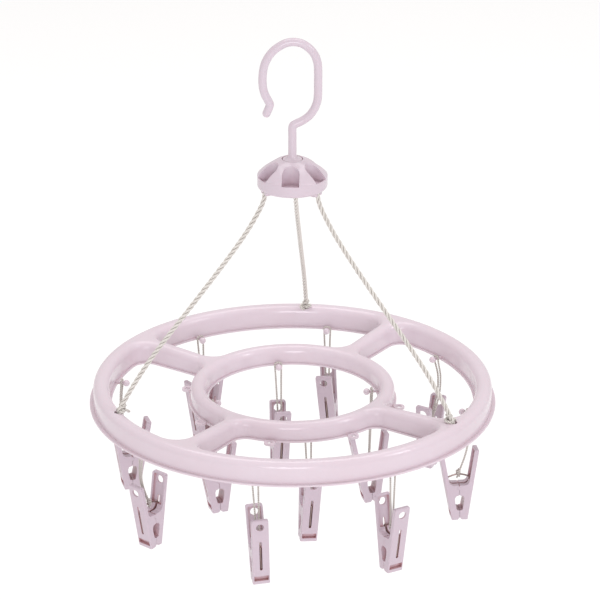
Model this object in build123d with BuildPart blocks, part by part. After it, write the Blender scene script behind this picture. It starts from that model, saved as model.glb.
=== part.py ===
from build123d import *
import math
import os

# ---------------------------------------------------------------------------
# Clip drying hanger.  Millimetres, +Z up.  The origin is the inner top of the
# hook's bight, where the hanger rests on a rail.
# ---------------------------------------------------------------------------

# heights
RING_TOP = -257.3          # crown of the outer ring
HUB_Z = RING_TOP + 151.0   # underside of the hub

# ring frame (one moulding)
FRAME_H = 17.0             # crown to bottom flange
FLANGE_T = 1.2
OUT_R_FLANGE, OUT_R_WALL = 150.0, 147.2
OUT_RI_WALL, OUT_RI_FLANGE = 135.2, 133.6
IN_R_FLANGE, IN_R_WALL = 76.9, 75.4
IN_RI_WALL, IN_RI_FLANGE = 64.5, 63.1
SPOKE_W, SPOKE_W_FLANGE = 11.2, 14.0
SPOKE_ANGLES = (55.6, 145.6)
CORNER_R = 12.0            # inside corners where a spoke meets a ring
CROWN_R = 5.2
WALL_T = 1.8
DISH = 0.045               # slope of the crown towards the centre
ROPE_ANGLES = (325.6, 85.6, 205.6)
ROPE_HOLE_R, ROPE_HOLE_AT = 3.0, 139.4

# pegs and eyelets
PEG_R, PEG_BALL_R = 1.2, 2.5
PEG_Z = RING_TOP - 15.7
OUT_PEG_BALL_AT, IN_PEG_BALL_AT = 127.0, 56.0
OUT_HANG_AT, IN_HANG_AT = 130.5, 59.8
OUT_PEG_ANGLES = tuple(33.1 + 45 * i for i in range(8))
IN_PEG_ANGLES = tuple(10.6 + 90 * i for i in range(4))
EYE_R, EYE_HOLE_R, EYE_AT, EYE_T = 4.1, 2.3, 80.0, 1.6

# hub
HUB_R, HUB_H = 25.4, 21.4
POCKET_W = 12.5
POCKET_AT = 18.1
POCKET_END = 24.4
POCKET_ANGLE = 26.5
SILL_Z = 8.4
BORE_R, SHAFT_R = 3.06, 3.0
COLLAR_R, COLLAR_POCKET_R = 7.2, 7.65

# ropes and cords
ROPE_D = 3.6
ROPE_TOP_AT = 21.5
CORD_D = 1.6
CORD_TURN_R = 2.35

# clips, in a clip's own frame: origin at the foot of the finger notch,
# X across the two arms, Y along the jaw's width
CLIP_W = 12.4
ARM_TOP, ARM_FOOT = 28.2, -26.2
ARM_OUT0, ARM_SLOPE = 10.4, 0.17
ARM_T = 3.4
WEB_T = 1.5
NOTCH_Z = 0.8              # bottom of the notch between the arms
PIVOT_Z = -1.2
RIDGE_R, GROOVE_R = 1.4, 1.5
FACE_GAP = 0.12
SLOT_W, SLOT_TOP, SLOT_FOOT = 1.9, 10.2, -14.8
SLOT_DEPTH = 3.9
SLOT_THROUGH = -3.0        # below this height the slot is blind
WIRE_D = 1.2
KNOT_DROP = 54.0           # peg axis down to the cord's knot
KNOT_UP = 8.6              # clip's origin up to the cord's knot

# one row for each clip: peg angle, distance of the cord from the axis, shift of
# the cord's knot from straight below the peg, direction of the clip's X, and the
# clip's tilts about X and about Y
CLIPS = (
    (33.1, OUT_HANG_AT, (-4.1, -0.6, 0.1), 241.9, (1.4, 2.6)),
    (78.1, OUT_HANG_AT, (0.3, 0.0, 0.4), 261.7, (-1.7, -4.2)),
    (123.1, OUT_HANG_AT, (2.4, 0.1, 1.5), 35.9, (-0.2, 0.1)),
    (168.1, OUT_HANG_AT, (5.5, 0.9, 3.1), 16.1, (0.2, 0.7)),
    (213.1, OUT_HANG_AT, (5.0, 0.0, 2.8), 230.5, (3.4, -0.8)),
    (258.1, OUT_HANG_AT, (2.2, 0.5, 3.1), 279.5, (0.1, -2.7)),
    (303.1, OUT_HANG_AT, (-0.5, 0.5, 3.0), 300.0, (0.0, 0.3)),
    (348.1, OUT_HANG_AT, (-5.3, 1.6, 4.0), 186.0, (-4.2, -1.3)),
    (10.6, IN_HANG_AT, (-1.5, -0.4, 0.4), 13.5, (-0.3, -2.5)),
    (100.6, IN_HANG_AT, (1.3, 0.0, 0.4), 279.6, (-4.3, 1.1)),
    (190.6, IN_HANG_AT, (2.1, 0.0, 2.6), 198.5, (-1.5, -1.8)),
    (280.6, IN_HANG_AT, (1.4, -0.1, 2.5), 279.0, (0.0, 2.7)),
)

os.makedirs("parts", exist_ok=True)


def write(part, name):
    part.label = name
    export_step(part, "parts/" + name + ".step")


def polar(r, deg, z=0.0):
    a = math.radians(deg)
    return (r * math.cos(a), r * math.sin(a), z)


# ---------------------------------------------------------------------------
# Hook: a round rod bent in the XZ plane, with a collar and a shank
# ---------------------------------------------------------------------------
HOOK_PTS = [
    (0.0, 0.0, HUB_Z + 22.0),
    (0.0, 0.0, -58.8),
    (18.05, 0.0, -47.0),
    (18.05, 0.0, 3.0),
    (-3.6, 0.0, 3.0),
    (-17.2, 0.0, -7.0),
    (-21.9, 0.0, -28.0),
    (-15.7, 0.0, -44.0),
    (-18.4, 0.0, -50.5),
]
HOOK_RADII = [3.6, 14.0, 17.0, 13.5, 17.0, 20.0, 3.6]
with BuildPart() as hook:
    with BuildLine() as hook_path:
        FilletPolyline(*HOOK_PTS, radius=HOOK_RADII)
    with BuildSketch(Plane(origin=HOOK_PTS[0], z_dir=(0, 0, 1))):
        Circle(SHAFT_R)
    sweep(path=hook_path.wires()[0])
    with Locations(HOOK_PTS[-1]):
        Sphere(SHAFT_R)
    # shank, collar disc and the flare between the collar and the rod
    with BuildSketch(Plane.XZ):
        with BuildLine():
            Polyline(
                (0, HUB_Z + 12.95), (SHAFT_R, HUB_Z + 12.95), (SHAFT_R, HUB_Z + 19.5),
                (COLLAR_R, HUB_Z + 19.5), (COLLAR_R, HUB_Z + 21.0), (COLLAR_R - 0.6, HUB_Z + 21.6),
                (4.7, HUB_Z + 21.9), (3.7, HUB_Z + 22.9), (SHAFT_R, HUB_Z + 24.6),
                (0, HUB_Z + 24.6), (0, HUB_Z + 12.95),
            )
        make_face()
    revolve(axis=Axis.Z)
    # pilot hole for the retaining screw
    with Locations((0, 0, HUB_Z + 12.95 + 4.5)):
        Cylinder(1.5, 9.0, mode=Mode.SUBTRACT)
write(hook.part, "hook")

with BuildPart() as hook_washer:
    with BuildSketch(Plane.XY.offset(HUB_Z + 11.4)):
        Circle(6.8)
        Circle(1.6, mode=Mode.SUBTRACT)
    extrude(amount=1.5)
    fillet(hook_washer.edges().group_by(Axis.Z)[0].sort_by(SortBy.LENGTH)[-1], 0.4)
write(hook_washer.part, "hook_washer")

with BuildPart() as hook_screw:
    with BuildSketch(Plane.XZ):
        with BuildLine():
            Polyline(
                (0, HUB_Z + 9.2), (2.6, HUB_Z + 9.2), (3.3, HUB_Z + 10.0), (3.3, HUB_Z + 11.4),
                (1.5, HUB_Z + 11.4), (1.5, HUB_Z + 20.0), (0.9, HUB_Z + 21.0), (0, HUB_Z + 21.0),
                (0, HUB_Z + 9.2),
            )
        make_face()
    revolve(axis=Axis.Z)
    # cross recess
    with Locations((0, 0, HUB_Z + 9.2 + 0.7)):
        Box(3.6, 0.7, 1.4, mode=Mode.SUBTRACT)
        Box(0.7, 3.6, 1.4, mode=Mode.SUBTRACT)
write(hook_screw.part, "hook_screw")

# ---------------------------------------------------------------------------
# Hub: domed cover with six arched pockets, and a base plate
# ---------------------------------------------------------------------------
with BuildPart() as hub_dome:
    with BuildSketch(Plane.XZ):
        with BuildLine():
            Line((23.4, HUB_Z + 0.3), (23.8, HUB_Z))
            ThreePointArc((23.8, HUB_Z), (24.95, HUB_Z + 0.85), (HUB_R, HUB_Z + 2.6))
            Line((HUB_R, HUB_Z + 2.6), (HUB_R, HUB_Z + 8.8))
            ThreePointArc((HUB_R, HUB_Z + 8.8), (25.15, HUB_Z + 9.65), (24.5, HUB_Z + 10.3))
            ThreePointArc((24.5, HUB_Z + 10.3), (17.0, HUB_Z + 17.0), (9.2, HUB_Z + 21.1))
            Polyline(
                (9.2, HUB_Z + 21.1), (8.7, HUB_Z + HUB_H), (COLLAR_POCKET_R, HUB_Z + HUB_H),
                (COLLAR_POCKET_R, HUB_Z + 19.2),
                (BORE_R, HUB_Z + 19.2), (BORE_R, HUB_Z + 13.0), (9.8, HUB_Z + 13.0), (9.8, HUB_Z + 4.9),
                (23.4, HUB_Z + 4.9), (23.4, HUB_Z + 0.3),
            )
        make_face()
    revolve(axis=Axis.Z)
    # arched pockets, open upwards and outwards above the rim band
    with BuildSketch(Plane.XY.offset(HUB_Z + 6.1)):
        with PolarLocations(0, 6, start_angle=POCKET_ANGLE):
            with Locations((POCKET_AT, 0)):
                Circle(POCKET_W / 2)
            with Locations(((POCKET_AT + POCKET_END) / 2, 0)):
                Rectangle(POCKET_END - POCKET_AT, POCKET_W)
        Circle(POCKET_END, mode=Mode.INTERSECT)
    extrude(amount=20, mode=Mode.SUBTRACT)
    # each pocket's sill, cut across the top of the rim band
    with BuildSketch(Plane.XY.offset(HUB_Z + SILL_Z)):
        with PolarLocations(0, 6, start_angle=POCKET_ANGLE):
            with Locations((POCKET_AT + 5.0, 0)):
                Rectangle(10.0, POCKET_W)
    extrude(amount=20, mode=Mode.SUBTRACT)
write(hub_dome.part, "hub_dome")

with BuildPart() as hub_base:
    with BuildSketch(Plane.XY.offset(HUB_Z)):
        Circle(23.35)
    extrude(amount=1.6)
    # rope bosses
    with BuildSketch(Plane.XY.offset(HUB_Z - 2.2)):
        with PolarLocations(20.3, 3, start_angle=ROPE_ANGLES[1]):
            RectangleRounded(5.6, 9.4, 1.2)
    extrude(amount=2.8)
    # rope holes
    with BuildSketch(Plane.XY.offset(HUB_Z - 3.0)):
        with PolarLocations(ROPE_TOP_AT, 3, start_angle=ROPE_ANGLES[1]):
            Circle(2.15)
    extrude(amount=6.0, mode=Mode.SUBTRACT)
write(hub_base.part, "hub_base")


# ---------------------------------------------------------------------------
# Ring frame
# ---------------------------------------------------------------------------
def frame_plan(r_out, r_void_out, r_void_in, r_hole, spoke_w, corner_r):
    """Plan of the frame: a disc less a centre hole and four rounded sectors."""
    with BuildSketch() as voids:
        Circle(r_void_out)
        Circle(r_void_in, mode=Mode.SUBTRACT)
        for a in SPOKE_ANGLES:
            Rectangle(2 * r_out + 10, spoke_w, rotation=a, mode=Mode.SUBTRACT)
        fillet(voids.vertices(), corner_r)
    with BuildSketch() as plan:
        Circle(r_out)
        Circle(r_hole, mode=Mode.SUBTRACT)
        add(voids.sketch, mode=Mode.SUBTRACT)
    return plan.sketch


body_plan = frame_plan(OUT_R_WALL, OUT_RI_WALL, IN_R_WALL, IN_RI_WALL, SPOKE_W, CORNER_R)
flange_plan = frame_plan(OUT_R_FLANGE, OUT_RI_FLANGE, IN_R_FLANGE, IN_RI_FLANGE, SPOKE_W_FLANGE, CORNER_R - 1.4)
# underside channel: an annulus in each ring and a strip in each spoke
with BuildSketch() as channel_voids:
    Circle(OUT_RI_WALL + WALL_T)
    Circle(IN_R_WALL - WALL_T, mode=Mode.SUBTRACT)
    for a in SPOKE_ANGLES:
        Rectangle(320, SPOKE_W - 2 * WALL_T, rotation=a, mode=Mode.SUBTRACT)
    fillet(channel_voids.vertices(), CORNER_R + WALL_T)
with BuildSketch() as channel_plan:
    Circle(OUT_R_WALL - WALL_T)
    Circle(IN_RI_WALL + WALL_T, mode=Mode.SUBTRACT)
    add(channel_voids.sketch, mode=Mode.SUBTRACT)

with BuildPart() as ring_frame:
    with BuildSketch(Plane.XY.offset(RING_TOP - FRAME_H)):
        add(body_plan)
    extrude(amount=FRAME_H + 2.0)
    # the crown dishes slightly towards the centre
    with BuildSketch(Plane.XZ):
        with BuildLine():
            Polyline(
                (0, RING_TOP - 141.0 * DISH), (160, RING_TOP + 19.0 * DISH), (160, RING_TOP + 12),
                (0, RING_TOP + 12), (0, RING_TOP - 141.0 * DISH),
            )
        make_face()
    revolve(axis=Axis.Z, mode=Mode.SUBTRACT)
    crown = ring_frame.faces().filter_by(GeomType.CONE).sort_by(SortBy.AREA)[-1]
    fillet(crown.edges(), CROWN_R)
    # bottom flange
    with BuildSketch(Plane.XY.offset(RING_TOP - FRAME_H)):
        add(flange_plan)
    extrude(amount=FLANGE_T)
    # underside channel
    with BuildSketch(Plane.XY.offset(RING_TOP - FRAME_H - 1.0)):
        add(channel_plan.sketch)
    extrude(amount=FRAME_H + 1.0 - 6.6, mode=Mode.SUBTRACT)
    # pegs, each a neck with a ball head and a stouter root
    for angles, wall, ball_at in (
        (OUT_PEG_ANGLES, OUT_RI_WALL, OUT_PEG_BALL_AT),
        (IN_PEG_ANGLES, IN_RI_WALL, IN_PEG_BALL_AT),
    ):
        for a in angles:
            root = Plane(origin=polar(wall + 0.9, a, PEG_Z), z_dir=polar(-1, a))
            with BuildSketch(root):
                Circle(PEG_R)
            extrude(amount=wall + 0.9 - ball_at)
            with Locations(polar(ball_at, a, PEG_Z)):
                Sphere(PEG_BALL_R)
    # eyelets on the inner ring's outer wall
    with BuildSketch(Plane.XY.offset(RING_TOP - FRAME_H)):
        with PolarLocations(EYE_AT, 8, start_angle=OUT_PEG_ANGLES[0]):
            Circle(EYE_R)
        Circle(IN_R_WALL - 0.4, mode=Mode.SUBTRACT)
    extrude(amount=EYE_T)
    with BuildSketch(Plane.XY.offset(RING_TOP - FRAME_H - 0.5)):
        with PolarLocations(EYE_AT, 8, start_angle=OUT_PEG_ANGLES[0]):
            Circle(EYE_HOLE_R)
    extrude(amount=EYE_T + 1.0, mode=Mode.SUBTRACT)
    # rope holes
    with BuildSketch(Plane.XY.offset(RING_TOP - 9.0)):
        with PolarLocations(ROPE_HOLE_AT, 3, start_angle=ROPE_ANGLES[1]):
            Circle(ROPE_HOLE_R)
    extrude(amount=12.0, mode=Mode.SUBTRACT)
write(ring_frame.part, "ring_frame")


# ---------------------------------------------------------------------------
# Suspension ropes: inside the hub, a run that sags a little, into the ring's hole
# ---------------------------------------------------------------------------
def tube_radii(points, share=0.45):
    """Arc radius for each corner: 0.45 of the shorter run over tan(half the turn)."""
    out = []
    for p, q, r in zip(points, points[1:], points[2:]):
        u, v = Vector(*q) - Vector(*p), Vector(*r) - Vector(*q)
        half = math.radians(u.get_angle(v)) / 2
        out.append(share * min(u.length, v.length) / math.tan(half))
    return out


# distance from the axis and height above the crown, from the hub down to the ring
ROPE_ROUTE = (
    (ROPE_TOP_AT, 154.2), (ROPE_TOP_AT, 147.0), (26.0, 137.0), (40.5, 116.0), (76.0, 77.0),
    (112.5, 38.5), (131.5, 13.5), (138.8, 2.0), (139.4, -7.4),
)


def rope_points(a):
    return [polar(r, a, RING_TOP + z) for r, z in ROPE_ROUTE]


for n, a in enumerate(ROPE_ANGLES, 1):
    pts = rope_points(a)
    radii = tube_radii(pts)
    with BuildPart() as rope:
        with BuildLine() as rope_path:
            FilletPolyline(*pts, radius=radii)
        with BuildSketch(Plane(origin=pts[0], z_dir=(0, 0, -1))):
            Circle(ROPE_D / 2)
        sweep(path=rope_path.wires()[0])
    length = rope_path.wires()[0].length
    print("rope", n, "radii", [round(r, 1) for r in radii], "length", round(length, 1),
          "volume ratio", round(rope.part.volume / (math.pi * (ROPE_D / 2) ** 2 * length), 4))
    write(rope.part, "rope_%d" % n)

# knots: stoppers above the hub's base plate, stoppers in the ring's channel,
# and a loop of rope that lies on the crown round each rope
with BuildPart() as rope_knots:
    for a in ROPE_ANGLES:
        with BuildSketch(Plane(origin=polar(19.8, a, HUB_Z + 1.7), z_dir=(0, 0, 1))):
            Circle(3.3)
        extrude(amount=3.0)
        with Locations(polar(140.6, a, RING_TOP - 11.4)):
            Sphere(3.3)
        with BuildSketch(Plane(origin=polar(138.6, a, RING_TOP + 1.5), x_dir=polar(1, a), z_dir=polar(1, a + 90))):
            with Locations((3.0, 0)):
                Circle(1.2)
        revolve(axis=Axis(polar(138.6, a, RING_TOP), (0, 0, 1)))
    fillet(rope_knots.edges().filter_by(GeomType.CIRCLE).filter_by(
        lambda e: abs(e.radius - 3.3) < 0.01 and e.center().Z > HUB_Z - 5), 1.2)
write(rope_knots.part, "rope_knots")


# ---------------------------------------------------------------------------
# One clip in its own frame
# ---------------------------------------------------------------------------
def x_out(z):
    return ARM_OUT0 + ARM_SLOPE * z


tilt = math.degrees(math.atan(ARM_SLOPE))
tan_relief = math.tan(math.radians(7.6))


def arm_master(ridge):
    """The arm on the -X side (ridge True) or on the +X side (ridge False)."""
    s = -1 if ridge else 1
    outer = Plane(origin=(s * ARM_OUT0, 0, 0), x_dir=(0, 1, 0),
                  z_dir=(s * math.cos(math.radians(tilt)), 0, -math.sin(math.radians(tilt))))
    over = Plane(origin=outer.origin + outer.z_dir, x_dir=(0, 1, 0), z_dir=outer.z_dir)
    up = 1.0 if outer.y_dir.Z > 0 else -1.0
    with BuildPart() as arm:
        with BuildSketch(Plane.XZ) as profile:
            with BuildLine():
                Polyline(
                    (s * x_out(ARM_TOP), ARM_TOP),
                    (s * x_out(ARM_FOOT), ARM_FOOT),
                    (s * 1.5, ARM_FOOT + 0.2),
                    (s * FACE_GAP, ARM_FOOT + 1.7),
                    (s * FACE_GAP, -18.8),
                    (s * 2.0, -18.5),
                    (s * 3.3, -12.6),
                    (s * 3.5, -9.4),
                    (s * 2.7, -7.6),
                    (s * FACE_GAP, -6.8),
                    (s * FACE_GAP, PIVOT_Z),
                    (s * (FACE_GAP - (PIVOT_Z - NOTCH_Z) * tan_relief), NOTCH_Z),
                    (s * 4.6, NOTCH_Z),
                    (s * 6.1, 1.4),
                    (s * 7.1, 2.6),
                    (s * (x_out(4.4) - ARM_T), 4.4),
                    (s * (x_out(ARM_TOP) - ARM_T), ARM_TOP),
                    (s * x_out(ARM_TOP), ARM_TOP),
                )
            make_face()
            fillet(profile.vertices().sort_by(Axis.Y)[-2:], 1.3)
        extrude(amount=CLIP_W / 2, both=True)
        # rounded corners at the top end, seen from the front
        with BuildSketch(Plane.YZ) as front:
            with Locations((0, -10.9)):
                Rectangle(CLIP_W, 2 * (ARM_TOP + 10.9))
            fillet(front.vertices().sort_by(Axis.Y)[-2:], 1.9)
        extrude(amount=40, both=True, mode=Mode.INTERSECT)
        # rounded outer corners in plan
        long_edges = arm.edges().filter_by(
            lambda e: e.length > 40 and abs(abs(e.center().Y) - CLIP_W / 2) < 0.01)
        fillet(long_edges, 0.9)
        # finger hole
        with Locations(Plane(origin=(0, 0, 22.2), z_dir=(1, 0, 0))):
            Cylinder(2.9, 60, mode=Mode.SUBTRACT)
        # spring slot: a groove from the outer face, right through in its upper half
        with BuildSketch(over):
            with Locations((0, up * (SLOT_TOP + SLOT_FOOT) / 2)):
                SlotOverall(SLOT_TOP - SLOT_FOOT, SLOT_W, rotation=90)
        extrude(amount=-1.0 - SLOT_DEPTH, mode=Mode.SUBTRACT)
        with BuildSketch(over):
            with Locations((0, up * (SLOT_TOP + SLOT_THROUGH) / 2)):
                SlotOverall(SLOT_TOP - SLOT_THROUGH, SLOT_W, rotation=90)
        extrude(amount=-13.0, mode=Mode.SUBTRACT)
        # recess near the foot of the outer face
        with BuildSketch(over):
            with Locations((0, up * -21.9)):
                RectangleRounded(10.4, 4.2, 0.4)
        extrude(amount=-1.0 - 2.4, mode=Mode.SUBTRACT)
        # hollow inner face between two side ribs
        inner = Plane(origin=outer.origin - outer.z_dir * WEB_T, x_dir=(0, 1, 0), z_dir=outer.z_dir)
        with BuildSketch(inner):
            with Locations((0, up * 15.3)):
                RectangleRounded(CLIP_W - 3.0, 23.0, 1.2)
        extrude(amount=-6.0, mode=Mode.SUBTRACT)
        # fulcrum: a half-round ridge on one arm, a half-round groove in the other
        with Locations(Location((0, 0, PIVOT_Z), (90, 0, 0))):
            if ridge:
                Cylinder(RIDGE_R, CLIP_W)
            else:
                Cylinder(GROOVE_R, CLIP_W + 2, mode=Mode.SUBTRACT)
    return arm.part


arm_ridge = arm_master(True)
arm_groove = arm_master(False)

WIRE_PTS = [
    (-7.0, 0, -13.6), (-10.1, 0, 4.4), (0, 0, 8.8), (10.1, 0, 4.4), (7.0, 0, -13.6),
]
with BuildPart() as wire_master:
    with BuildLine() as wire_path:
        FilletPolyline(*WIRE_PTS, radius=[1.6, 11.0, 1.6])
    with BuildSketch(Plane(origin=WIRE_PTS[0], z_dir=wire_path.wires()[0].tangent_at(0))):
        Circle(WIRE_D / 2)
    sweep(path=wire_path.wires()[0])

for n, (peg_angle, hang_at, shift, yaw, (tilt_x, tilt_y)) in enumerate(CLIPS, 1):
    c = Vector(*polar(hang_at, peg_angle, PEG_Z))
    k = c + Vector(*shift) - Vector(0, 0, KNOT_DROP)
    place = Location(k) * Location((0, 0, 0), (tilt_x, tilt_y, 0)) * Location((0, 0, -KNOT_UP), (0, 0, yaw))
    with BuildPart() as arm_a:
        with Locations(place):
            add(arm_ridge)
    write(arm_a.part, "clip_%02d_arm_a" % n)
    with BuildPart() as arm_b:
        with Locations(place):
            add(arm_groove)
    write(arm_b.part, "clip_%02d_arm_b" % n)
    with BuildPart() as spring:
        with Locations(place):
            add(wire_master.part)
    write(spring.part, "clip_%02d_spring" % n)

    # cord: up one side, over the peg's neck, down the other side to the knot
    t = Vector(*polar(1, peg_angle + 90))
    top = c + Vector(0, 0, CORD_TURN_R)
    pts = [k - t * 0.95, top - t * CORD_TURN_R, top + t * CORD_TURN_R, k + t * 0.95]
    with BuildPart() as cord:
        with BuildLine() as cord_path:
            FilletPolyline(*pts, radius=[CORD_TURN_R * 0.94] * 2)
        with BuildSketch(Plane(origin=pts[0], z_dir=cord_path.wires()[0].tangent_at(0))):
            Circle(CORD_D / 2)
        sweep(path=cord_path.wires()[0])
    length = cord_path.wires()[0].length
    print("clip cord", n, "radii", [round(CORD_TURN_R * 0.94, 2)] * 2, "length", round(length, 1),
          "volume ratio", round(cord.part.volume / (math.pi * (CORD_D / 2) ** 2 * length), 4))
    write(cord.part, "clip_%02d_cord" % n)
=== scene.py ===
import math
import random

import bmesh
import bpy
from mathutils import Matrix, Vector


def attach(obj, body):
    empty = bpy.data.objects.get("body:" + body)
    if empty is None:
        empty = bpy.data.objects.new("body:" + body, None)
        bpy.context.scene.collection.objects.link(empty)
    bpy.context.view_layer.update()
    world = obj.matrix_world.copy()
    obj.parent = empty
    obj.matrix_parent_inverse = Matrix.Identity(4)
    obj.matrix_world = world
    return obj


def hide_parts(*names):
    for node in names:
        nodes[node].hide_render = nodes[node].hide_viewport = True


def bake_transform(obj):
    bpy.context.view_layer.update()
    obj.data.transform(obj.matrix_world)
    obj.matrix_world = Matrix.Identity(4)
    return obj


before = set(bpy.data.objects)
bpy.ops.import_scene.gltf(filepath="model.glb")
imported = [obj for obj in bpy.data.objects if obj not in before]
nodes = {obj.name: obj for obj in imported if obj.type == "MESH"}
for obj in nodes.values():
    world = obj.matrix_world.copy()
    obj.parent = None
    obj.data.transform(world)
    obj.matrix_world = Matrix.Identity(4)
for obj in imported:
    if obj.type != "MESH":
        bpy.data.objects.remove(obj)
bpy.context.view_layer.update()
MM = 0.001

# ---------------------------------------------------------------------------
# Driving numbers, the same as the CAD model's (millimetres)
# ---------------------------------------------------------------------------
RING_TOP = -257.3
HUB_Z = RING_TOP + 151.0
SHAFT_R, COLLAR_R = 3.0, 7.2
PEG_Z = RING_TOP - 15.7
ROPE_ANGLES = (325.6, 85.6, 205.6)
ROPE_D = 3.6
CORD_D = 1.6
CORD_TURN_R = 2.35
KNOT_DROP, KNOT_UP = 54.0, 8.6
OUT_AT, IN_AT = 130.5, 59.8
# peg angle, distance of the cord from the axis, shift of the knot from straight
# below the peg, direction of the clip's X, the clip's tilts about X and about Y
CLIPS = (
    (33.1, OUT_AT, (-4.1, -0.6, 0.1), 241.9, (1.4, 2.6)),
    (78.1, OUT_AT, (0.3, 0.0, 0.4), 261.7, (-1.7, -4.2)),
    (123.1, OUT_AT, (2.4, 0.1, 1.5), 35.9, (-0.2, 0.1)),
    (168.1, OUT_AT, (5.5, 0.9, 3.1), 16.1, (0.2, 0.7)),
    (213.1, OUT_AT, (5.0, 0.0, 2.8), 230.5, (3.4, -0.8)),
    (258.1, OUT_AT, (2.2, 0.5, 3.1), 279.5, (0.1, -2.7)),
    (303.1, OUT_AT, (-0.5, 0.5, 3.0), 300.0, (0.0, 0.3)),
    (348.1, OUT_AT, (-5.3, 1.6, 4.0), 186.0, (-4.2, -1.3)),
    (10.6, IN_AT, (-1.5, -0.4, 0.4), 13.5, (-0.3, -2.5)),
    (100.6, IN_AT, (1.3, 0.0, 0.4), 279.6, (-4.3, 1.1)),
    (190.6, IN_AT, (2.1, 0.0, 2.6), 198.5, (-1.5, -1.8)),
    (280.6, IN_AT, (1.4, -0.1, 2.5), 279.0, (0.0, 2.7)),
)
# where a clip's cord bows: height above the knot, and the cord's shift from
# straight below the peg
BOWS = {
    1: ((12.0, (-0.6, -0.2)), (27.0, (2.6, 0.0)), (40.0, (2.6, 0.0))),
    4: ((13.0, (2.2, 0.4)), (28.0, (-1.3, 0.0))),
    5: ((14.0, (-1.2, 0.0)), (32.0, (-0.4, 0.0))),
    8: ((19.0, (1.6, 0.3)), (36.0, (0.8, 0.1))),
}


def polar(r, deg, z=0.0):
    a = math.radians(deg)
    return Vector((r * math.cos(a), r * math.sin(a), z))


# ---------------------------------------------------------------------------
# Camera
# ---------------------------------------------------------------------------
ELEV = math.radians(23.95)
DIST = 2.4
F_PX = 3248.0
RING_PX = (292.5, 378.0)          # where the ring's centre sits in the frame
cam_data = bpy.data.cameras.new("camera")
cam = bpy.data.objects.new("camera", cam_data)
bpy.context.scene.collection.objects.link(cam)
ring_c = Vector((0, 0, RING_TOP * MM))
cam.location = ring_c + DIST * Vector((0, -math.cos(ELEV), math.sin(ELEV)))
up_v = Vector((0, math.sin(ELEV), math.cos(ELEV)))
target = ring_c + up_v * ((RING_PX[1] - 300) / F_PX * DIST) + Vector((1, 0, 0)) * ((300 - RING_PX[0]) / F_PX * DIST)
cam.rotation_euler = (target - cam.location).to_track_quat("-Z", "Y").to_euler()
cam_data.sensor_width = 36.0
cam_data.lens = F_PX / 600.0 * 36.0
cam_data.clip_start = 0.05
cam_data.clip_end = 60.0
cam_data.dof.use_dof = False
bpy.context.scene.camera = cam


# ---------------------------------------------------------------------------
# Materials
# ---------------------------------------------------------------------------
def new_mat(name):
    m = bpy.data.materials.new(name)
    m.use_nodes = True
    nt = m.node_tree
    nt.nodes.clear()
    out = nt.nodes.new("ShaderNodeOutputMaterial")
    bsdf = nt.nodes.new("ShaderNodeBsdfPrincipled")
    nt.links.new(bsdf.outputs["BSDF"], out.inputs["Surface"])
    return m, nt, bsdf


def node(nt, kind, **values):
    n = nt.nodes.new(kind)
    for k, v in values.items():
        if hasattr(n, k):
            setattr(n, k, v)
        else:
            n.inputs[k].default_value = v
    return n


def noise(nt, coord, scale, detail=3.0, rough=0.5):
    n = nt.nodes.new("ShaderNodeTexNoise")
    n.inputs["Scale"].default_value = scale
    n.inputs["Detail"].default_value = detail
    n.inputs["Roughness"].default_value = rough
    nt.links.new(coord, n.inputs["Vector"])
    return n.outputs["Fac"]


def ramp(nt, fac, stops):
    r = nt.nodes.new("ShaderNodeValToRGB")
    while len(r.color_ramp.elements) < len(stops):
        r.color_ramp.elements.new(0.5)
    for e, (p, c) in zip(r.color_ramp.elements, stops):
        e.position = p
        e.color = (*c, 1.0)
    nt.links.new(fac, r.inputs["Fac"])
    return r.outputs["Color"]


def maprange(nt, fac, lo, hi, a=0.0, b=1.0):
    m = nt.nodes.new("ShaderNodeMapRange")
    m.inputs["From Min"].default_value = a
    m.inputs["From Max"].default_value = b
    m.inputs["To Min"].default_value = lo
    m.inputs["To Max"].default_value = hi
    nt.links.new(fac, m.inputs["Value"])
    return m.outputs["Result"]


def math_node(nt, op, a, b=None):
    m = nt.nodes.new("ShaderNodeMath")
    m.operation = op
    for i, v in enumerate((a, b)):
        if v is None:
            continue
        if isinstance(v, (int, float)):
            m.inputs[i].default_value = v
        else:
            nt.links.new(v, m.inputs[i])
    return m.outputs[0]


def bump(nt, bsdf, height, strength, distance, before=None):
    b = nt.nodes.new("ShaderNodeBump")
    b.inputs["Strength"].default_value = strength
    b.inputs["Distance"].default_value = distance
    nt.links.new(height, b.inputs["Height"])
    if before is not None:
        nt.links.new(before, b.inputs["Normal"])
    nt.links.new(b.outputs["Normal"], bsdf.inputs["Normal"])
    return b.outputs["Normal"]


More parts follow.
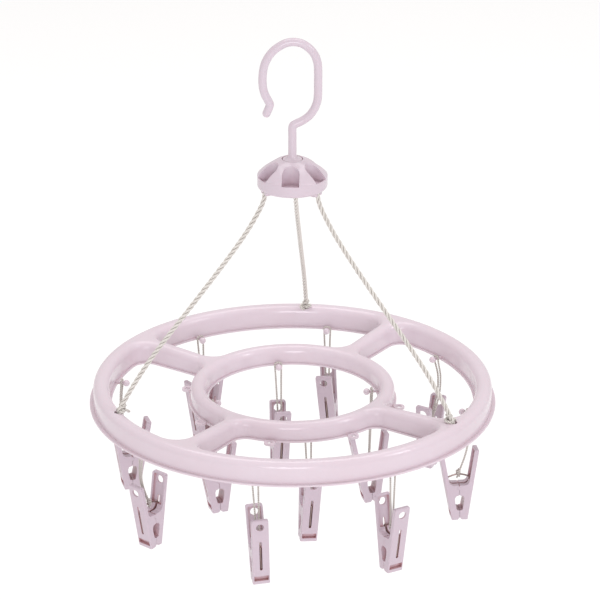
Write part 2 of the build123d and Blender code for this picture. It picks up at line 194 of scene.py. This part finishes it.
def plastic(name, base, shade, painted_shade_mid, painted_shade_deep, reach, rough=(0.26, 0.36), sss=0.04, grain=0.00002):
    """Moulded polypropylene: faint flow marks in the colour, a slightly uneven gloss, fine texture, and painted
    shade: an ambient-occlusion mask makes the colour darker and redder in the slots and hollows, standing in for the
    shade there and the light that goes through the wall several times."""
    m, nt, bsdf = new_mat(name)
    tc = nt.nodes.new("ShaderNodeTexCoord")
    co = tc.outputs["Object"]
    broad = noise(nt, co, 14.0, 2.0, 0.5)
    fine = noise(nt, co, 180.0, 3.0, 0.6)
    mix = math_node(nt, "ADD", math_node(nt, "MULTIPLY", broad, 0.75), math_node(nt, "MULTIPLY", fine, 0.25))
    col = ramp(nt, mix, [(0.30, shade), (0.62, base), (0.80, tuple(min(1.0, c * 1.03) for c in base))])
    # painted shade: an ambient-occlusion mask multiplies the colour darker and redder in the slots and hollows
    ao = nt.nodes.new("ShaderNodeAmbientOcclusion")
    ao.samples = 8
    ao.inputs["Distance"].default_value = reach
    painted_shade_tint = ramp(nt, ao.outputs["AO"], [(0.06, painted_shade_deep), (0.42, painted_shade_mid), (0.80, (1.0, 1.0, 1.0))])
    mul = nt.nodes.new("ShaderNodeMix")
    mul.data_type = "RGBA"
    mul.blend_type = "MULTIPLY"
    mul.inputs["Factor"].default_value = 1.0
    nt.links.new(col, mul.inputs[6])
    nt.links.new(painted_shade_tint, mul.inputs[7])
    nt.links.new(mul.outputs[2], bsdf.inputs["Base Color"])
    nt.links.new(maprange(nt, noise(nt, co, 60.0, 4.0, 0.6), rough[0], rough[1], 0.3, 0.7), bsdf.inputs["Roughness"])
    bsdf.inputs["Subsurface Weight"].default_value = sss
    bsdf.inputs["Subsurface Radius"].default_value = (1.0, 0.55, 0.6)
    bsdf.inputs["Subsurface Scale"].default_value = 0.0025
    bsdf.inputs["IOR"].default_value = 1.49
    bump(nt, bsdf, noise(nt, co, 900.0, 3.0, 0.5), 0.35, grain)
    return m


def fibre(name, light, dark, painted_shade_deep, pitch, lean):
    """Twisted yarn. UV: u along the strand in metres, v once round it. Groove map: u is 0 at the bottom of the
    grooves between the strands and 1 on the rope's outside; it darkens the colour there as painted shade."""
    m, nt, bsdf = new_mat(name)
    tc = nt.nodes.new("ShaderNodeTexCoord")
    sep = nt.nodes.new("ShaderNodeSeparateXYZ")
    nt.links.new(tc.outputs["UV"], sep.inputs[0])
    gm = nt.nodes.new("ShaderNodeUVMap")
    gm.uv_map = "Groove"
    gsep = nt.nodes.new("ShaderNodeSeparateXYZ")
    nt.links.new(gm.outputs["UV"], gsep.inputs[0])
    # yarns wound round the strand
    phase = math_node(nt, "ADD", math_node(nt, "MULTIPLY", sep.outputs["X"], 2 * math.pi / pitch),
                      math_node(nt, "MULTIPLY", sep.outputs["Y"], 2 * math.pi * lean))
    wave = math_node(nt, "MULTIPLY", math_node(nt, "ADD", math_node(nt, "SINE", phase), 1.0), 0.5)
    hair = noise(nt, tc.outputs["Object"], 2600.0, 4.0, 0.7)
    broad = noise(nt, tc.outputs["Object"], 90.0, 3.0, 0.6)
    mix = math_node(nt, "ADD", math_node(nt, "MULTIPLY", wave, 0.40),
                    math_node(nt, "ADD", math_node(nt, "MULTIPLY", hair, 0.3), math_node(nt, "MULTIPLY", broad, 0.3)))
    col = ramp(nt, mix, [(0.18, dark), (0.66, light)])
    # painted shade: the colour is darkened in the grooves between the strands
    shade = ramp(nt, gsep.outputs["X"], [(0.44, painted_shade_deep), (0.80, (1.0, 1.0, 1.0))])
    mul = nt.nodes.new("ShaderNodeMix")
    mul.data_type = "RGBA"
    mul.blend_type = "MULTIPLY"
    mul.inputs["Factor"].default_value = 1.0
    nt.links.new(col, mul.inputs[6])
    nt.links.new(shade, mul.inputs[7])
    nt.links.new(mul.outputs[2], bsdf.inputs["Base Color"])
    bsdf.inputs["Roughness"].default_value = 0.82
    bsdf.inputs["Sheen Weight"].default_value = 0.2
    bsdf.inputs["Sheen Roughness"].default_value = 0.5
    bsdf.inputs["Specular IOR Level"].default_value = 0.25
    n1 = bump(nt, bsdf, wave, 0.7, 0.00012)
    bump(nt, bsdf, hair, 0.5, 0.00006, before=n1)
    return m


def steel(name, col, rough):
    m, nt, bsdf = new_mat(name)
    tc = nt.nodes.new("ShaderNodeTexCoord")
    n = noise(nt, tc.outputs["Object"], 700.0, 4.0, 0.6)
    nt.links.new(ramp(nt, n, [(0.3, tuple(c * 0.8 for c in col)), (0.7, col)]), bsdf.inputs["Base Color"])
    nt.links.new(maprange(nt, n, rough - 0.06, rough + 0.1, 0.3, 0.7), bsdf.inputs["Roughness"])
    bsdf.inputs["Metallic"].default_value = 1.0
    bump(nt, bsdf, n, 0.15, 0.00002)
    return m


# The third and fourth colours of each plastic and the distance after them set painted shade: the darker, redder tints
# multiplied in by the ambient-occlusion mask in slots and hollows.
M_FRAME = plastic("pink_plastic", (0.70, 0.595, 0.655), (0.68, 0.565, 0.62), (1.0, 0.97, 0.96), (0.90, 0.80, 0.78), 0.004, rough=(0.12, 0.19))
# The hub and hook use the ring's plastic made about 8 % darker: a shaded copy of one material, painted shade.
M_HUB_SHADED = plastic("hub_plastic", (0.64, 0.545, 0.61), (0.625, 0.52, 0.58), (1.0, 0.94, 0.94), (0.82, 0.64, 0.62), 0.010, rough=(0.16, 0.24))
M_CLIP = plastic("clip_plastic", (0.575, 0.475, 0.54), (0.545, 0.44, 0.50), (1.0, 0.74, 0.70), (0.46, 0.20, 0.17), 0.0075, rough=(0.28, 0.38), grain=0.00003)
# The third colour of each yarn is painted shade for the grooves between the strands.
M_ROPE = fibre("rope_fibre", (0.76, 0.725, 0.685), (0.56, 0.52, 0.475), (0.22, 0.18, 0.15), 0.0011, 3.0)
M_CORD = fibre("cord_fibre", (0.72, 0.675, 0.635), (0.48, 0.43, 0.395), (0.15, 0.12, 0.11), 0.0008, 2.0)
# The spring wire's reddish-brown colour is a painted reflection of the pink plastic around it, not the steel's own
# colour.
M_WIRE = steel("spring_wire", (0.42, 0.32, 0.30), 0.34)
M_SCREW = steel("zinc", (0.62, 0.62, 0.60), 0.3)


def give(o, mat):
    o.data.materials.clear()
    o.data.materials.append(mat)


# ---------------------------------------------------------------------------
# Cords: routes, strands
# ---------------------------------------------------------------------------
def link(o):
    bpy.context.scene.collection.objects.link(o)
    return o


def nurbs_points(points, res=24):
    """The points of the NURBS line with these control points, in metres."""
    cu = bpy.data.curves.new("route", "CURVE")
    cu.dimensions = "3D"
    cu.resolution_u = res
    sp = cu.splines.new("NURBS")
    sp.points.add(len(points) - 1)
    for p, q in zip(sp.points, points):
        p.co = (*q, 1.0)
    sp.order_u = 3
    sp.use_endpoint_u = True
    ob = link(bpy.data.objects.new("route", cu))
    bpy.context.view_layer.update()
    me = bpy.data.meshes.new_from_object(ob)
    pts = [v.co.copy() for v in me.vertices]
    bpy.data.objects.remove(ob)
    bpy.data.meshes.remove(me)
    bpy.data.curves.remove(cu)
    return pts


def resample(pts, step):
    out = [pts[0].copy()]
    left = step
    for a, b in zip(pts, pts[1:]):
        seg = (b - a).length
        t = left
        while t <= seg:
            out.append(a.lerp(b, t / seg))
            t += step
        left = t - seg
    if (out[-1] - pts[-1]).length > step * 0.3:
        out.append(pts[-1].copy())
    else:
        out[-1] = pts[-1].copy()
    return out


def frames(pts):
    """Parallel-transport frames along the points."""
    tang = []
    for i in range(len(pts)):
        a, b = pts[max(0, i - 1)], pts[min(len(pts) - 1, i + 1)]
        tang.append((b - a).normalized())
    ref = Vector((0, 0, 1)) if abs(tang[0].z) < 0.9 else Vector((1, 0, 0))
    n = (ref - tang[0] * ref.dot(tang[0])).normalized()
    out = []
    for i, t in enumerate(tang):
        if i:
            q = tang[i - 1].rotation_difference(t)
            n = (q @ n)
            n = (n - t * n.dot(t)).normalized()
        out.append((t, n, t.cross(n)))
    return out


def tube(bm, uv, pts, radius, sides=10, close=True, u0=0.0, axis=None, reach=1.0):
    """A round tube along pts. axis is the rope's own line, point for point, reach its radius."""
    fr = frames(pts)
    groove_shade_mask = bm.loops.layers.uv["Groove"]
    rings, s, us = [], 0.0, []
    total = sum((b - a).length for a, b in zip(pts, pts[1:])) or 1.0
    for i, (p, (t, n, b)) in enumerate(zip(pts, fr)):
        if i:
            s += (pts[i] - pts[i - 1]).length
        us.append(u0 + s)
        r = radius(s / total) if callable(radius) else radius
        rings.append([bm.verts.new(p + (n * math.cos(2 * math.pi * k / sides) + b * math.sin(2 * math.pi * k / sides)) * r)
                      for k in range(sides)])
    for i, (ra, rb) in enumerate(zip(rings, rings[1:])):
        for k in range(sides):
            j = (k + 1) % sides
            f = bm.faces.new((ra[k], ra[j], rb[j], rb[k]))
            f.smooth = True
            uvs = ((us[i], k / sides), (us[i], (k + 1) / sides), (us[i + 1], (k + 1) / sides), (us[i + 1], k / sides))
            at = (i, i, i + 1, i + 1)
            for loop, c, m in zip(f.loops, uvs, at):
                loop[uv].uv = c
                # mask for the painted shade between the strands: distance from the rope's axis over its radius
                g = 1.0 if axis is None else min(1.0, (loop.vert.co - axis[m]).length / reach)
                loop[groove_shade_mask].uv = (g, 0.5)
    if close:
        for ring, end in ((rings[0], True), (rings[-1], False)):
            f = bm.faces.new(list(reversed(ring)) if end else ring)
            f.smooth = True
            for loop in f.loops:
                loop[groove_shade_mask].uv = (1.0, 0.5)


def strands(bm, uv, pts, d, count, lay, step, sides=10, phase=0.0, fill=1.0):
    """count strands twisted round the line through pts, together d across."""
    line = resample(pts, step)
    fr = frames(line)
    R = d / 2
    rs = R * (0.52 if count == 2 else 0.475) * fill
    off = R - rs
    cum = [0.0]
    for a, b in zip(line, line[1:]):
        cum.append(cum[-1] + (b - a).length)
    for k in range(count):
        path = []
        for p, (t, n, b), s in zip(line, fr, cum):
            ang = 2 * math.pi * (s / lay + k / count) + phase
            path.append(p + (n * math.cos(ang) + b * math.sin(ang)) * off)
        tube(bm, uv, path, rs, sides, axis=line, reach=R)


def mesh_piece(name, build, mat):
    bm = bmesh.new()
    bm.loops.layers.uv.new("UVMap")
    bm.loops.layers.uv.new("Groove")
    uv = bm.loops.layers.uv["UVMap"]
    build(bm, uv)
    me = bpy.data.meshes.new(name)
    bm.normal_update()
    bm.to_mesh(me)
    bm.free()
    o = link(bpy.data.objects.new(name, me))
    me.materials.append(mat)
    return o


# --- suspension ropes -------------------------------------------------------
for n, a in enumerate(ROPE_ANGLES, 1):
    ctrl = [polar(r, a, RING_TOP + z) for r, z in (
        (21.5, 154.2), (21.5, 147.0), (26.0, 137.0), (40.5, 116.0), (76.0, 77.0),
        (112.5, 38.5), (131.0, 13.5), (136.8, 4.0), (139.0, 0.6), (139.4, -7.4))]
    ctrl = [c * MM for c in ctrl]
    line = nurbs_points(ctrl)
    rope = mesh_piece("rope_%d_strands" % n,
                      lambda bm, uv: strands(bm, uv, line, ROPE_D * MM, 3, 0.0135, 0.0007, 12, phase=0.7 * n), M_ROPE)
    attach(rope, "hanger")
    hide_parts("rope_%d" % n)
    [tuple(p) for p in resample(line, 0.001)]


# --- knots of the suspension ropes -----------------------------------------
def knot_line(centre, axis_out, size, turns, rise):
    """A small wound knot about the vertical at centre."""
    pts = []
    steps = int(26 * turns)
    side = Vector((-axis_out.y, axis_out.x, 0))
    for i in range(steps + 1):
        t = i / steps
        ang = 2 * math.pi * turns * t
        r = size * (1.0 - 0.12 * math.sin(math.pi * t))
        pts.append(centre + (axis_out * math.cos(ang) + side * math.sin(ang)) * r + Vector((0, 0, rise * (t - 0.5))))
    return pts


def build_knots(bm, uv):
    for k, a in enumerate(ROPE_ANGLES):
        out = polar(1, a)
        side = polar(1, a + 90)
        # stopper above the hub's base plate
        c = polar(19.8, a, HUB_Z + 3.1) * MM
        strands(bm, uv, knot_line(c, out, 0.0016, 1.6, 0.0012), 0.0030, 3, 0.009, 0.0005, 8)
        # stopper in the ring's channel
        c = polar(140.6, a, RING_TOP - 11.4) * MM
        strands(bm, uv, knot_line(c, out, 0.0017, 2.2, 0.0034), 0.0030, 3, 0.009, 0.0005, 8)
        # the knot's turn round the rope's foot, open towards the hole, and its tail end
        c = polar(137.3, a, RING_TOP) * MM
        loop = []
        for i in range(37):
            t = i / 36
            ang = math.radians(48 + 264 * t)
            r = 0.0034 + 0.0003 * math.sin(ang * 2)
            loop.append(c + (out * math.cos(ang) * 0.95 + side * math.sin(ang)) * r
                        + Vector((0, 0, 0.00085 + 0.0006 * math.sin(math.pi * t))))
        strands(bm, uv, loop, 0.0022, 3, 0.0075, 0.0004, 8, phase=k)
        turn = []
        for i in range(33):
            t = i / 32
            ang = math.radians(-40 + 400 * t)
            turn.append(polar(135.9, a, RING_TOP + 4.6 + 2.2 * (t - 0.5)) * MM
                        + (out * math.cos(ang) + side * math.sin(ang)) * 0.0019)
        strands(bm, uv, turn, 0.0021, 3, 0.0075, 0.0004, 8, phase=k + 1)
        tail = [polar(1, a + 0, 0) * 0.1355 + side * 0.0030 + Vector((0, 0, RING_TOP * MM + 0.0024)),
                polar(1, a + 0, 0) * 0.1335 + side * 0.0042 + Vector((0, 0, RING_TOP * MM + 0.0016)),
                polar(1, a + 0, 0) * 0.1318 + side * 0.0030 + Vector((0, 0, RING_TOP * MM + 0.0004)),
                polar(1, a + 0, 0) * 0.1322 + side * 0.0010 + Vector((0, 0, RING_TOP * MM - 0.0004))]
        strands(bm, uv, nurbs_points(tail, 12), 0.0020, 3, 0.0075, 0.0004, 8, phase=k)


knots = mesh_piece("rope_knots_wound", build_knots, M_ROPE)
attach(knots, "hanger")
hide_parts("rope_knots")

# --- clip cords, springs and knots -----------------------------------------
for n, (peg_angle, hang_at, shift, yaw, (tilt_x, tilt_y)) in enumerate(CLIPS, 1):
    tag = "clip_%02d" % n
    t = polar(1, peg_angle + 90)
    c = polar(hang_at, peg_angle, PEG_Z)
    k = c + Vector(shift) - Vector((0, 0, KNOT_DROP))
    fall = KNOT_DROP - shift[2] + 2.4
    side = [(0.95, k)]
    if n in BOWS:
        for up, (bx, by) in BOWS[n]:
            side.append((0.9 + 0.02 * up, Vector((c.x + bx, c.y + by, k.z + up))))
        side.append((2.05, c + Vector((0.6 * bx, 0.6 * by, -8.4))))
        side.append((2.5, c + Vector((0, 0, -1.8))))
    else:
        for half, z in ((2.05, -9.6), (2.5, -1.8)):
            f = (2.4 - z) / fall
            side.append((half, c + Vector((shift[0] * f, shift[1] * f, z))))
    side.append((2.5, c + Vector((0, 0, 2.45))))
    ctrl = [(q - t * u) * MM for u, q in side] + [(q + t * u) * MM for u, q in reversed(side)]
    line = nurbs_points(ctrl)
    cord = mesh_piece(tag + "_cord_strands",
                      lambda bm, uv: strands(bm, uv, line, CORD_D * MM, 2, 0.0030, 0.0003, 8, phase=0.9 * n), M_CORD)
    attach(cord, tag)
    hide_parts(tag + "_cord")

    place = (Matrix.Translation(k * MM)
             @ Matrix.Rotation(math.radians(tilt_x), 4, "X") @ Matrix.Rotation(math.radians(tilt_y), 4, "Y")
             @ Matrix.Translation((0, 0, -KNOT_UP * MM))
             @ Matrix.Rotation(math.radians(yaw), 4, "Z"))

    def local(x, y, z):
        return place @ Vector((x * MM, y * MM, z * MM))

    # spring wire, one smooth bend over the notch and a leg down each slot
    wire_ctrl = [(-7.0, 0, -13.6), (-8.6, 0, -4.4), (-10.0, 0, 3.6), (-9.6, 0, 5.0), (-4.4, 0, 7.2), (0, 0, 8.1),
                 (4.4, 0, 7.2), (9.6, 0, 5.0), (10.0, 0, 3.6), (8.6, 0, -4.4), (7.0, 0, -13.6)]
    wire_line = resample(nurbs_points([local(*p) for p in wire_ctrl]), 0.0006)
    spring = mesh_piece(tag + "_spring_wire", lambda bm, uv: tube(bm, uv, wire_line, 0.0006, 12), M_WIRE)
    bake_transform(spring)
    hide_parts(tag + "_spring")

    # knot on the wire
    def build_knot(bm, uv):
        rnd = random.Random(n)
        out = polar(1, peg_angle)
        centre = local(0, 0, 9.9)
        turn = []
        for i in range(61):
            u = i / 60
            ang = 2 * math.pi * 2.3 * u + rnd.random() * 0.02
            r = 0.00115 + 0.0002 * math.sin(math.pi * u)
            turn.append(centre + (out * math.cos(ang) + t * math.sin(ang)) * r + Vector((0, 0, 0.0030 * (u - 0.5))))
        strands(bm, uv, turn, 0.0014, 2, 0.004, 0.0003, 8)
        # the loop under the wire
        loop = []
        wire_dir = (local(1, 0, 0) - local(0, 0, 0)).normalized()
        across = (local(0, 1, 0) - local(0, 0, 0)).normalized()
        for i in range(33):
            ang = 2 * math.pi * i / 32 * 0.96
            loop.append(local(0, 0, 7.8) + (across * math.sin(ang) + Vector((0, 0, 1)) * math.cos(ang)) * 0.00135
                        + wire_dir * (0.0011 * (i / 32 - 0.5)))
        strands(bm, uv, loop, 0.0014, 2, 0.004, 0.0003, 8)
        # two short tails
        for s in (-1, 1):
            tail = [local(0, 0, 8.4), local(0.9 * s, 0.8 * s, 7.0), local(1.2 * s, 1.3 * s, 5.2)]
            strands(bm, uv, nurbs_points(tail, 10), 0.0013, 2, 0.004, 0.0004, 8)

    knot = mesh_piece(tag + "_cord_knot", build_knot, M_CORD)
    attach(knot, tag)
    [tuple(p) for p in resample(line, 0.0005)]

# ---------------------------------------------------------------------------
# Hook: the rod in one smooth sweep, with the collar and shank turned on it
# ---------------------------------------------------------------------------
HOOK_LINE = (
    (0.0, -66.0), (0.0, -61.6), (0.7, -59.6), (2.9, -58.2), (7.5, -55.9), (12.1, -52.3), (15.6, -47.3), (17.6, -42.0),
    (18.3, -36.4), (18.4, -27.0), (18.3, -16.0), (17.0, -9.2), (14.5, -4.6), (11.2, -1.1), (6.7, 1.8), (0.7, 2.9),
    (-5.1, 1.8), (-10.9, -1.6), (-15.0, -5.5), (-18.1, -10.2), (-19.9, -14.8), (-20.9, -20.3), (-21.2, -25.9),
    (-20.8, -31.5), (-19.5, -36.4), (-17.2, -41.0), (-16.1, -43.6), (-16.3, -45.2), (-18.4, -50.5),
)


def build_hook(bm):
    rings = [(Vector((0, 0, z + hz)), Vector((0, 0, 1)), r) for z, r in
             ((12.95, SHAFT_R), (19.5, SHAFT_R), (19.55, COLLAR_R), (21.0, COLLAR_R), (21.45, COLLAR_R - 0.25),
              (21.6, COLLAR_R - 0.6), (21.9, 4.7), (22.3, 4.05), (22.9, 3.6), (23.8, 3.15), (24.6, SHAFT_R))
             for hz in (HUB_Z,)]
    pts = [Vector((x, 0, z)) for x, z in HOOK_LINE]
    ext = [pts[0] * 2 - pts[1]] + pts + [pts[-1] * 2 - pts[-2]]
    line = []
    for i in range(1, len(ext) - 2):
        a, b, c, d = ext[i - 1:i + 3]
        for k in range(8):
            t = k / 8
            line.append(0.5 * (2 * b + (c - a) * t + (2 * a - 5 * b + 4 * c - d) * t * t
                               + (3 * b - a - 3 * c + d) * t ** 3))
    line.append(pts[-1])
    for i, p in enumerate(line):
        q = (line[min(i + 1, len(line) - 1)] - line[max(i - 1, 0)]).normalized()
        rings.append((p, q, SHAFT_R))
    end, way = line[-1], (line[-1] - line[-2]).normalized()
    for k in range(1, 9):
        a = k / 9 * math.pi / 2
        rings.append((end + way * (SHAFT_R * math.sin(a)), way, SHAFT_R * math.cos(a)))
    rows, side = [], Vector((0, 1, 0))
    for p, q, r in rings:
        u = side.cross(q).normalized()
        rows.append([bm.verts.new((p + (u * math.cos(2 * math.pi * j / 40) + side * math.sin(2 * math.pi * j / 40)) * r) * MM)
                     for j in range(40)])
    for ra, rb in zip(rows, rows[1:]):
        for j in range(40):
            bm.faces.new((ra[j], ra[(j + 1) % 40], rb[(j + 1) % 40], rb[j]))
    foot = bm.verts.new(Vector((0, 0, 12.95 + HUB_Z)) * MM)
    tip = bm.verts.new((end + way * SHAFT_R) * MM)
    for j in range(40):
        bm.faces.new((foot, rows[0][(j + 1) % 40], rows[0][j]))
        bm.faces.new((tip, rows[-1][j], rows[-1][(j + 1) % 40]))
    bmesh.ops.recalc_face_normals(bm, faces=bm.faces)


hook_bm = bmesh.new()
build_hook(hook_bm)
hook_me = bpy.data.meshes.new("hook_rod")
hook_bm.to_mesh(hook_me)
hook_bm.free()
for poly in hook_me.polygons:
    poly.use_smooth = True
hook_me.materials.append(M_HUB_SHADED)
hook_rod = link(bpy.data.objects.new("hook_rod", hook_me))
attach(hook_rod, "hook")
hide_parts("hook")

# ---------------------------------------------------------------------------
# CAD nodes that keep their shape
# ---------------------------------------------------------------------------
for name, o in nodes.items():
    if name.endswith("_arm_a") or name.endswith("_arm_b"):
        give(o, M_CLIP)
    elif name in ("hook", "hub_dome", "hub_base", "ring_frame"):
        give(o, M_FRAME if name == "ring_frame" else M_HUB_SHADED)
    elif name.startswith("hook_"):
        give(o, M_SCREW)

# ---------------------------------------------------------------------------
# Floor and light
# ---------------------------------------------------------------------------
def floor_material():
    m, nt, bsdf = new_mat("studio_floor")
    bsdf.inputs["Base Color"].default_value = (0.97, 0.97, 0.97, 1)
    bsdf.inputs["Roughness"].default_value = 0.9
    bsdf.inputs["Specular IOR Level"].default_value = 0.1
    return m


fl = bmesh.new()
bmesh.ops.create_grid(fl, x_segments=2, y_segments=2, size=14.0)
me = bpy.data.meshes.new("studio_floor")
fl.to_mesh(me)
fl.free()
floor = link(bpy.data.objects.new("studio_floor", me))
floor.location = (0, 0, -0.62)
me.materials.append(floor_material())


def area(name, loc, aim, size, power, colour=(1, 1, 1)):
    ld = bpy.data.lights.new(name, "AREA")
    ld.shape = "RECTANGLE"
    ld.size, ld.size_y = size
    ld.energy = power
    ld.color = colour
    lo = link(bpy.data.objects.new(name, ld))
    lo.location = loc
    lo.rotation_euler = (Vector(aim) - Vector(loc)).to_track_quat("-Z", "Y").to_euler()
    return lo


area("key", (2.2, -0.9, 1.5), (0, 0, -0.25), (0.5, 0.8), 12, (0.94, 0.96, 1.0))
area("fill", (-0.2, -5.0, 0.7), (0, 0, -0.25), (2.2, 1.6), 78, (0.94, 0.955, 1.0))
area("top", (0, 1.0, 2.8), (0, 0.7, -0.6), (3.0, 1.8), 42, (0.99, 0.99, 1.0))

world = bpy.data.worlds.new("studio")
bpy.context.scene.world = world
world.use_nodes = True
bg = world.node_tree.nodes["Background"]
bg.inputs["Color"].default_value = (1.0, 0.98, 0.965, 1)
bg.inputs["Strength"].default_value = 0.72
bpy.context.scene.view_settings.view_transform = "Standard"
bpy.context.scene.view_settings.look = "None"
